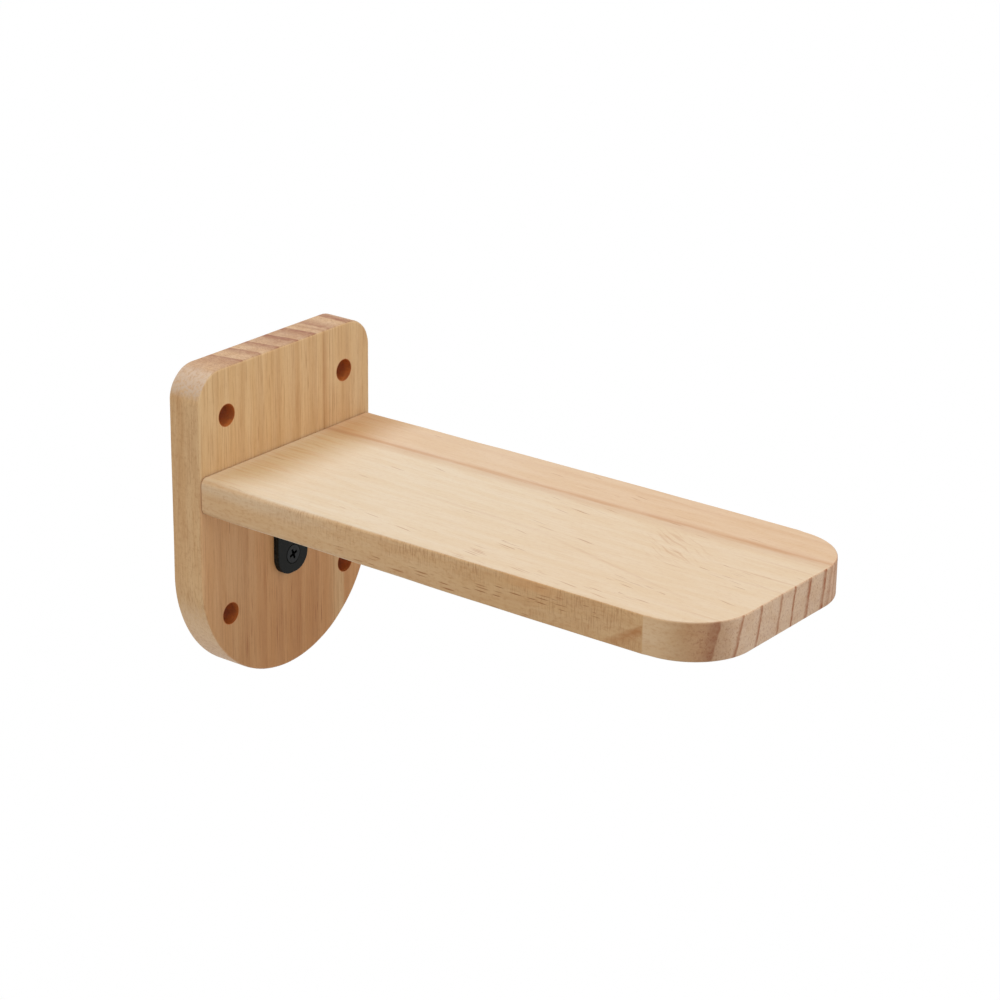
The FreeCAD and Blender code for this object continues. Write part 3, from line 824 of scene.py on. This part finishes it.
def joint_browning_and_shade(graph, settings, board, upward, colour):
    """Browner streaked top by the plate, partly painted shade, and a painted shadow in the joint's
    crevice.
    """
    across, along, _ = board
    streaks = graph.noise(graph.join(*board), (1.2, 30.0, 2.0), detail=3.0, roughness=0.6)
    begins = graph.step(across, -44.0, -22.0, -5.0, 7.0)
    ragged = graph.ramp(graph.minus(streaks, 0.5), 10.0, along)
    # Browner wood by the plate: partly its own colour, partly painted shade from the plate
    browning_and_shade = graph.times(graph.fall(ragged, begins, 26.0), graph.step(along, 0.0, 5.0, 0.65, 1.0), upward)
    colour = graph.tint(browning_and_shade, colour, settings.joint_browning_and_shade_tint)
    deeper = graph.step(across, 8.0, 26.0, 0.0, 0.13)
    dark_streaks = graph.ramp(graph.step(streaks, 0.48, 0.64), 0.32, deeper)
    colour = graph.mix(graph.times(browning_and_shade, dark_streaks), colour, settings.late)
    # Painted shadow in the crevice where the eased end meets the plate
    ease = settings.end_ease / MM
    return graph.tint(graph.fall(along, ease * 0.5, ease * 1.1), colour, settings.crevice_shadow_tint)


def make_plate_pine(settings):
    """Pine with the grain upright: redder with painted shade below the shelf, scorched in the wall holes.
    """
    material, graph, shader = new_material("plate_pine")
    point, outward = board_places(graph)
    height = point[2]
    through = graph.minus(point[1], PLATE_LOW.y / MM)
    board = (wandering(graph, settings, point[0], height, through), height, through)
    end = graph.step(outward[2], 0.35, 0.8)
    side = graph.times(graph.step(outward[0], 0.5, 0.9), graph.step(height, -45.0, -10.0, 0.35, 1.0))
    crowd = graph.step(outward[0], 0.2, 0.5, settings.dashes, 0.0)
    colour = add_pine(graph, shader, settings, PLATE_LINES, board, end, side, crowd, settings.saw_marks)
    colour = mottle_and_highlight_rim(graph, settings, board, outward, colour)
    colour = shaded_red_foot(graph, settings, board, outward, colour)
    graph.feed(shader.inputs["Base Color"], hole_walls(graph, settings, point, colour))
    return material


def mottle_and_highlight_rim(graph, settings, board, outward, colour):
    """Paler mottled wood where the rim turns from side to end, with a painted highlight towards the foot.
    """
    height = board[1]
    turning = graph.times(graph.step(outward[0], 0.15, 0.5), graph.step(outward[2], 0.12, 0.45))
    mottle_and_highlight = graph.noise(graph.join(*board), (1.1, 1.1, 1.1), detail=3.0, roughness=0.7)
    rim_share = graph.times(turning, graph.step(height, -40.0, 0.0, 0.62, 0.95),
                        graph.step(mottle_and_highlight, 0.42, 0.65, 1.0, 0.35))
    # Towards the foot this paler colour is a painted highlight of light from below
    rim = graph.mix(graph.step(height, -40.0, 0.0), settings.foot_rim_highlight, settings.corner_rim)
    return graph.mix(rim_share, colour, rim)


def shaded_red_foot(graph, settings, board, outward, colour):
    """Redder wood and painted shade on the plate's front below the shelf, with a paler strip on its right.
    """
    across, height, through = board
    front = graph.times(graph.step(outward[1], 0.3, 0.8), graph.fall(through, 1.0, 6.0))
    pale_strip = graph.band(across, (18.5, 24.0), (26.6, 27.8))
    # Painted shade under the shelf, together with redder wood there
    shaded_red = graph.times(graph.fall(height, SHELF_LOW.z / MM, SHELF_HIGH.z / MM), front,
                      graph.step(across, -41.0, -39.0, 0.5, 1.0), graph.ramp(pale_strip, -0.65, 1.0))
    foot = graph.mix(graph.step(across, -24.0, -10.0), settings.foot_left_greyer_and_shade_tint, settings.foot_redder_and_shade_tint)
    colour = graph.tint(shaded_red, colour, foot)
    # Painted shade that deepens towards the foot
    return graph.tint(graph.times(shaded_red, graph.fall(height, -52.0, -8.0)), colour, settings.foot_shade)


def hole_walls(graph, settings, point, colour):
    """Scorched wood on the walls of the four wall holes."""
    spacings = (WALL_HOLES["spacing_x_mm"], WALL_HOLES["spacing_y_mm"])
    offsets = [graph.minus(graph.math("ABSOLUTE", place), spacing / 2)
               for place, spacing in zip((point[0], point[2]), spacings)]
    distance = graph.math("SQRT", graph.math("ADD", *(graph.times(offset, offset) for offset in offsets)))
    radius = WALL_HOLES["hole_r_mm"]
    bore = graph.fall(distance, radius + 0.05, radius + 0.25)
    charred = graph.noise(graph.join(*point), (3.0, 2.2, 3.0))
    wall = graph.mix(graph.step(charred, 0.42, 0.64), settings.scorch, settings.char)
    return graph.mix(bore, colour, wall)


def make_metal(name, settings, edge_from=None):
    """A coated or plated metal; its edges are rubbed where |x| passes a place in millimetres."""
    material, graph, shader = new_material(name)
    coordinates = graph.node("ShaderNodeTexCoord")
    point = graph.scaled(coordinates.outputs["Object"], MM, MM, MM)
    edge = 0.0
    if edge_from is not None:
        edge = graph.step(graph.math("ABSOLUTE", graph.split(point)[0]), edge_from, edge_from + 0.4)
    finish = graph.group(effect("metal_finish"), point=point, edge=edge, base=settings.base,
                         worn=settings.worn, rough=settings.roughness)
    graph.feed(shader.inputs["Base Color"], finish["Color"])
    graph.feed(shader.inputs["Roughness"], finish["Roughness"])
    shader.inputs["Metallic"].default_value = settings.metallic
    shader.inputs["Specular IOR Level"].default_value = settings.gloss
    add_bump(graph, shader, finish["Height"], settings.relief)
    return material


def dress(nodes, material):
    """Put a material in every slot of the nodes."""
    for node in nodes:
        for slot in frame["nodes"][node].material_slots:
            slot.material = material


def colour_setting(name, description, *colour):
    """A colour that a user may change, written as 0 to 255 on screen."""
    return bpy.props.FloatVectorProperty(name=name, description=description, subtype="COLOR", size=3,
                                         min=0.0, max=1.0, default=linear(*colour))


def length_setting(name, description, length):
    """A length in metres that a user may change."""
    return bpy.props.FloatProperty(name=name, description=description, default=length, unit="LENGTH",
                                   precision=5)


def angle_setting(name, description, degrees):
    """An angle that a user may change."""
    return bpy.props.FloatProperty(name=name, description=description, default=math.radians(degrees),
                                   unit="ROTATION")


def share_setting(name, description, share):
    """A strength that a user may change."""
    return bpy.props.FloatProperty(name=name, description=description, default=share, min=0.0, max=1.0,
                                   subtype="FACTOR")


def group_setting(name, description, kind):
    """A group of settings inside another one."""
    return bpy.props.PointerProperty(name=name, description=description, type=kind)


class ShelfSettings(bpy.types.PropertyGroup):
    """Sizes, colours and figure of the shelf board."""
    corner_radius: length_setting("Corner radius", "Round outer corners, seen from above", 20 * MM)
    corner_lead: length_setting("Corner lead", "Straight stretch that belongs to a corner's cut", 1.8 * MM)
    corner_step: length_setting("Corner step", "How far a corner's cut starts inside the side", 0.3 * MM)
    joint_round: length_setting("Joint rounding", "Rounding of the long edges by the plate", 2.2 * MM)
    tip_round: length_setting("Tip rounding", "Rounding of the edges at the outer end", 0.6 * MM)
    end_ease: length_setting("End ease", "Easing of the end that meets the plate", 0.6 * MM)
    pale: colour_setting("Pale wood", "Early wood between the lines", 234, 215, 188)
    warm: colour_setting("Warm wood", "Bands of warmer early wood", 231, 209, 178)
    late: colour_setting("Late wood", "Dark side of a growth line on a face", 186, 120, 58)
    end_late: colour_setting("End late wood", "Dark side of a growth line on end grain", 160, 86, 34)
    resin: colour_setting("Resin", "Short dashes along the grain", 166, 100, 46)
    end_tint: colour_setting("End grain", "Tint that sawn end grain adds", 252, 237, 229)
    side_tint: colour_setting("Side grain", "Tint that the side adds", 250, 227, 196)
    outer_side_tint: colour_setting("Outer side", "Tint of the side towards its outer end", 249, 245, 237)
    side_patch: colour_setting("Side patch", "Orange patch high on the side", 224, 170, 114)
    corner_tint: colour_setting("Corner", "Tint of a round corner towards the end grain", 221, 209, 196)
    heart_tint: colour_setting("Heart wood", "Tint beyond the wide dark line", 250, 239, 231)
    tip_tint: colour_setting("Tip", "Tint of the top towards its outer end", 253, 247, 241)
    # By the plate: browner wood that is partly painted shade, and a painted shadow in the crevice
    joint_browning_and_shade_tint: colour_setting("Joint stain", "Tint of the browner wood by the plate", 224, 212, 188)
    crevice_shadow_tint: colour_setting("Crevice", "Tint of the eased end by the plate", 178, 130, 86)
    wander: length_setting("Wander", "How far a growth line strays from straight", 1.2 * MM)
    relief: length_setting("Relief", "Depth of the grain", 0.12 * MM)
    bands: share_setting("Bands", "Share of long bands in the wood's cloudiness", 0.2)
    streaks: share_setting("Streaks", "Strength of the fine fibre streaks", 0.08)
    flecks: share_setting("Flecks", "Strength of the flecks on end grain", 0.4)
    dash_slope: share_setting("Dash slope", "How far resin dashes run aside for each length along", 0.12)
    saw_marks: share_setting("Saw marks", "Strength of the saw marks on the sides", 0.48)


class PlateSettings(bpy.types.PropertyGroup):
    """Sizes, colours and figure of the back plate."""
    corner_radius: length_setting("Corner radius", "Round top corners", 10 * MM)
    edge_round: length_setting("Edge rounding", "Rounding of all edges", 0.7 * MM)
    pale: colour_setting("Pale wood", "Early wood between the lines", 236, 200, 150)
    warm: colour_setting("Warm wood", "Bands of warmer early wood", 230, 190, 137)
    late: colour_setting("Late wood", "Dark side of a growth line on a face", 170, 102, 42)
    end_late: colour_setting("End late wood", "Dark side of a growth line on end grain", 150, 91, 62)
    resin: colour_setting("Resin", "Short dashes along the grain", 168, 100, 48)
    scorch: colour_setting("Scorch", "Wall of a drilled hole", 196, 111, 45)
    char: colour_setting("Char", "Darker marks on a hole's wall", 175, 96, 41)
    end_tint: colour_setting("End grain", "Tint that sawn end grain adds", 237, 235, 248)
    side_tint: colour_setting("Side grain", "Tint that the sawn side adds", 246, 238, 230)
    corner_rim: colour_setting("Corner rim", "Dry wood on the round top corners", 216, 189, 163)
    # The foot's rim colour is a painted highlight, paler where light from below falls
    foot_rim_highlight: colour_setting("Foot rim", "Dry wood on the foot's rim", 243, 208, 170)
    # Foot tints: redder wood with painted shade under the shelf; the foot shade is painted shade
    foot_redder_and_shade_tint: colour_setting("Foot", "Tint of the redder wood below the shelf", 252, 228, 210)
    foot_left_greyer_and_shade_tint: colour_setting("Foot, left", "Tint of the greyer wood on its left", 247, 229, 218)
    foot_shade: colour_setting("Foot shade", "Tint that deepens towards the foot", 236, 228, 216)
    wander: length_setting("Wander", "How far a growth line strays from straight", 1.0 * MM)
    relief: length_setting("Relief", "Depth of the grain", 0.10 * MM)
    bands: share_setting("Bands", "Share of long bands in the wood's cloudiness", 0.6)
    streaks: share_setting("Streaks", "Strength of the fine fibre streaks", 0.34)
    flecks: share_setting("Flecks", "Strength of the flecks on end grain", 0.35)
    dashes: share_setting("Dashes", "Share of the resin ducts that show", 0.12)
    dash_slope: share_setting("Dash slope", "How far resin dashes run aside for each length along", 0.0)
    saw_marks: share_setting("Saw marks", "Strength of the saw marks on the sides", 0.10)


def metal_settings(base, worn, roughness, metallic, gloss):
    """The settings of a metal finish, with their defaults."""
    return {
        "base": colour_setting("Base", "Colour of the sound surface", *base),
        "worn": colour_setting("Worn", "Colour of blotches and rubbed edges", *worn),
        "roughness": share_setting("Roughness", "Middle value of the roughness", roughness),
        "metallic": share_setting("Metallic", "How far the surface is bare metal", metallic),
        "gloss": share_setting("Gloss", "Strength of the surface's reflection", gloss),
        "relief": length_setting("Relief", "Depth of the surface's texture", 0.02 * MM),
    }


class BracketSettings(bpy.types.PropertyGroup):
    """Coat of the corner bracket."""
    __annotations__ = metal_settings(
        base=(17, 18, 15), worn=(56, 58, 56), roughness=0.5, metallic=0.0, gloss=0.12)


class ScrewSettings(bpy.types.PropertyGroup):
    """Black oxide of the bracket screws."""
    __annotations__ = metal_settings(
        base=(26, 27, 28), worn=(70, 70, 70), roughness=0.42, metallic=0.6, gloss=0.3)


class RearScrewSettings(bpy.types.PropertyGroup):
    """Zinc plating of the rear screws."""
    __annotations__ = metal_settings(
        base=(172, 168, 156), worn=(112, 109, 102), roughness=0.34, metallic=1.0, gloss=0.5)


class StageSettings(bpy.types.PropertyGroup):
    """Camera, floor and light."""
    aim: bpy.props.FloatVectorProperty(
        name="Aim", description="Point in the middle of the picture", size=3, subtype="TRANSLATION",
        unit="LENGTH", default=(0.00066, -0.09512, 0.01714))
    distance: length_setting("Distance", "From the aim point to the camera", 0.8927)
    azimuth: angle_setting("Azimuth", "Turn of the camera about the step", -52.89)
    elevation: angle_setting("Elevation", "Height of the camera above the level", 21.324)
    roll: angle_setting("Roll", "Turn of the camera about its own axis", 0.776)
    lens: bpy.props.FloatProperty(
        name="Lens", description="Focal length on a 36 mm sensor", unit="CAMERA", default=108.3)
    floor_drop: length_setting("Floor drop", "From the plate's foot down to the floor", 0.45)
    floor_colour: colour_setting("Floor", "Colour of the floor in the light alone", 205, 205, 205)
    sky: share_setting("Sky", "Even light from all round", 0.46)
    key_strength: bpy.props.FloatProperty(
        name="Key", description="Strength of the wide soft light from above", default=1.66, min=0.0)
    key_width: angle_setting("Key width", "How wide the soft light is", 70)
    key_height: angle_setting("Key height", "Height of the soft light above the level", 78)
    key_turn: angle_setting("Key turn", "Turn of the soft light about the step", -18)


class StepSettings(bpy.types.PropertyGroup):
    """All that a user may change on the step."""
    shelf: group_setting("Shelf", "The shelf board", ShelfSettings)
    plate: group_setting("Plate", "The back plate", PlateSettings)
    bracket: group_setting("Bracket", "The corner bracket", BracketSettings)
    screws: group_setting("Screws", "The bracket screws", ScrewSettings)
    rear_screws: group_setting("Rear screws", "The plated screws", RearScrewSettings)
    stage: group_setting("Stage", "Camera, floor and light", StageSettings)


class MakeShelf(bpy.types.Operator):
    """Make the shelf board"""
    bl_idname = "cat_step.make_shelf"
    bl_label = "Shelf board"

    def execute(self, context):
        settings = context.scene.cat_step.shelf
        mesh = build_shelf(settings)
        add_board("pine_shelf", "shelf_board", mesh, make_shelf_pine(settings))
        return {"FINISHED"}


class MakePlate(bpy.types.Operator):
    """Make the back plate"""
    bl_idname = "cat_step.make_plate"
    bl_label = "Back plate"

    def execute(self, context):
        settings = context.scene.cat_step.plate
        mesh = build_plate(settings)
        add_board("pine_plate", "back_plate", mesh, make_plate_pine(settings))
        return {"FINISHED"}


class DressBracket(bpy.types.Operator):
    """Give the corner bracket its satin black coat"""
    bl_idname = "cat_step.dress_bracket"
    bl_label = "Corner bracket"

    def execute(self, context):
        edge_from = BRACKET_HALF / MM - RUBBED_WIDTH
        dress(["corner_bracket"], make_metal("black_coat", context.scene.cat_step.bracket, edge_from))
        return {"FINISHED"}


class DressScrews(bpy.types.Operator):
    """Give the four bracket screws their black oxide"""
    bl_idname = "cat_step.dress_screws"
    bl_label = "Bracket screws"

    def execute(self, context):
        dress(PLATE_SCREWS + SHELF_SCREWS, make_metal("black_oxide", context.scene.cat_step.screws))
        return {"FINISHED"}


class DressRearScrews(bpy.types.Operator):
    """Give the two rear screws their zinc"""
    bl_idname = "cat_step.dress_rear_screws"
    bl_label = "Rear screws"

    def execute(self, context):
        dress(REAR_SCREWS, make_metal("zinc_plating", context.scene.cat_step.rear_screws))
        return {"FINISHED"}


def away(turn, height):
    """The direction from the step to a place at that turn to its right and that height, as angles."""
    level = math.cos(height)
    return Vector((level * math.sin(turn), -level * math.cos(turn), math.sin(height)))


def add_camera(settings):
    """A camera at the step's left front, looking down on the shelf."""
    back = away(settings.azimuth, settings.elevation)
    data = bpy.data.cameras.new("camera")
    data.lens = settings.lens
    camera = add_object("camera", data)
    camera.location = Vector(settings.aim) + settings.distance * back
    turn = back.to_track_quat("Z", "Y") @ Quaternion((0.0, 0.0, 1.0), settings.roll)
    camera.rotation_euler = turn.to_euler()
    bpy.context.scene.camera = camera


def add_key_light(settings):
    """One wide soft light from above and in front."""
    data = bpy.data.lights.new("key_light", "SUN")
    data.energy = settings.key_strength
    data.angle = settings.key_width
    lamp = add_object("key_light", data)
    lamp.rotation_euler = away(settings.key_turn, settings.key_height).to_track_quat("Z", "Y").to_euler()


def seen_directly(graph):
    """1 for what the camera sees straight, in a mirror or through glass, and 0 for light on a surface."""
    path = graph.node("ShaderNodeLightPath")
    seen = graph.math("MAXIMUM", path.outputs["Is Camera Ray"], path.outputs["Is Glossy Ray"])
    return graph.math("MAXIMUM", seen, path.outputs["Is Transmission Ray"])


def light_sky(settings):
    """An even pale sky that looks white."""
    world = bpy.data.worlds.new("studio")
    bpy.context.scene.world = world
    world.use_nodes = True
    graph = Graph(world.node_tree)
    background = world.node_tree.nodes["Background"]
    background.inputs["Color"].default_value = (1.0, 1.0, 1.0, 1.0)
    strength = graph.ramp(seen_directly(graph), 1.0 - settings.sky, settings.sky)
    graph.feed(background.inputs["Strength"], strength)


def add_floor(settings):
    """A wide pale floor below the step; it looks white outside shadows and is clear from below."""
    level = PLATE_LOW.z - settings.floor_drop
    mesh = bpy.data.meshes.new("floor")
    corners = [(x * FLOOR_HALF, y * FLOOR_HALF, level) for x, y in ((-1, -1), (1, -1), (1, 1), (-1, 1))]
    mesh.from_pydata(corners, [], [(0, 1, 2, 3)])
    floor = add_object("floor", mesh)

    material, graph, shader = new_material("pale_floor")
    graph.feed(shader.inputs["Base Color"], settings.floor_colour)
    shader.inputs["Roughness"].default_value = 1.0
    shader.inputs["Specular IOR Level"].default_value = 0.0
    glow = graph.node("ShaderNodeEmission")
    light = settings.sky + settings.key_strength * math.sin(settings.key_height) / math.pi
    missing = 1.0 - light * settings.floor_colour[0]
    graph.feed(glow.inputs["Strength"], graph.times(seen_directly(graph), missing))
    lit = graph.node("ShaderNodeAddShader")
    graph.feed(lit.inputs[0], shader.outputs["BSDF"])
    graph.feed(lit.inputs[1], glow.outputs["Emission"])
    under = graph.node("ShaderNodeMixShader")
    graph.feed(under.inputs["Fac"], graph.node("ShaderNodeNewGeometry").outputs["Backfacing"])
    graph.feed(under.inputs[1], lit.outputs["Shader"])
    graph.feed(under.inputs[2], graph.node("ShaderNodeBsdfTransparent").outputs["BSDF"])
    graph.feed(material.node_tree.nodes["Material Output"].inputs["Surface"], under.outputs["Shader"])
    mesh.materials.append(material)


class SetStage(bpy.types.Operator):
    """Set up the camera, the floor and the light"""
    bl_idname = "cat_step.set_stage"
    bl_label = "Stage"

    def execute(self, context):
        settings = context.scene.cat_step.stage
        add_camera(settings)
        add_key_light(settings)
        light_sky(settings)
        add_floor(settings)
        context.scene.view_settings.view_transform = "Standard"
        return {"FINISHED"}


class StepPanel(bpy.types.Panel):
    """Lists the pieces of the step and their settings"""
    bl_idname = "VIEW3D_PT_cat_step"
    bl_label = "Cat wall step"
    bl_space_type = "VIEW_3D"
    bl_region_type = "UI"
    bl_category = "Cat Step"

    def draw(self, context):
        settings = context.scene.cat_step
        groups = (settings.shelf, settings.plate, settings.bracket, settings.screws, settings.rear_screws,
                  settings.stage)
        for operator, group in zip(OPERATORS, groups):
            box = self.layout.box()
            box.operator(operator.bl_idname)
            for name in group.__annotations__:
                box.prop(group, name)


SETTINGS = (ShelfSettings, PlateSettings, BracketSettings, ScrewSettings, RearScrewSettings, StageSettings,
            StepSettings)
OPERATORS = (MakeShelf, MakePlate, DressBracket, DressScrews, DressRearScrews, SetStage)
CLASSES = (*SETTINGS, *OPERATORS, StepPanel)


def register():
    for cls in CLASSES:
        bpy.utils.register_class(cls)
    bpy.types.Scene.cat_step = bpy.props.PointerProperty(type=StepSettings)


def unregister():
    del bpy.types.Scene.cat_step
    for cls in reversed(CLASSES):
        bpy.utils.unregister_class(cls)


def main():
    register()
    bpy.ops.cat_step.make_shelf()
    bpy.ops.cat_step.make_plate()
    bpy.ops.cat_step.dress_bracket()
    bpy.ops.cat_step.dress_screws()
    bpy.ops.cat_step.dress_rear_screws()
    bpy.ops.cat_step.set_stage()


if __name__ == "__main__":
    main()
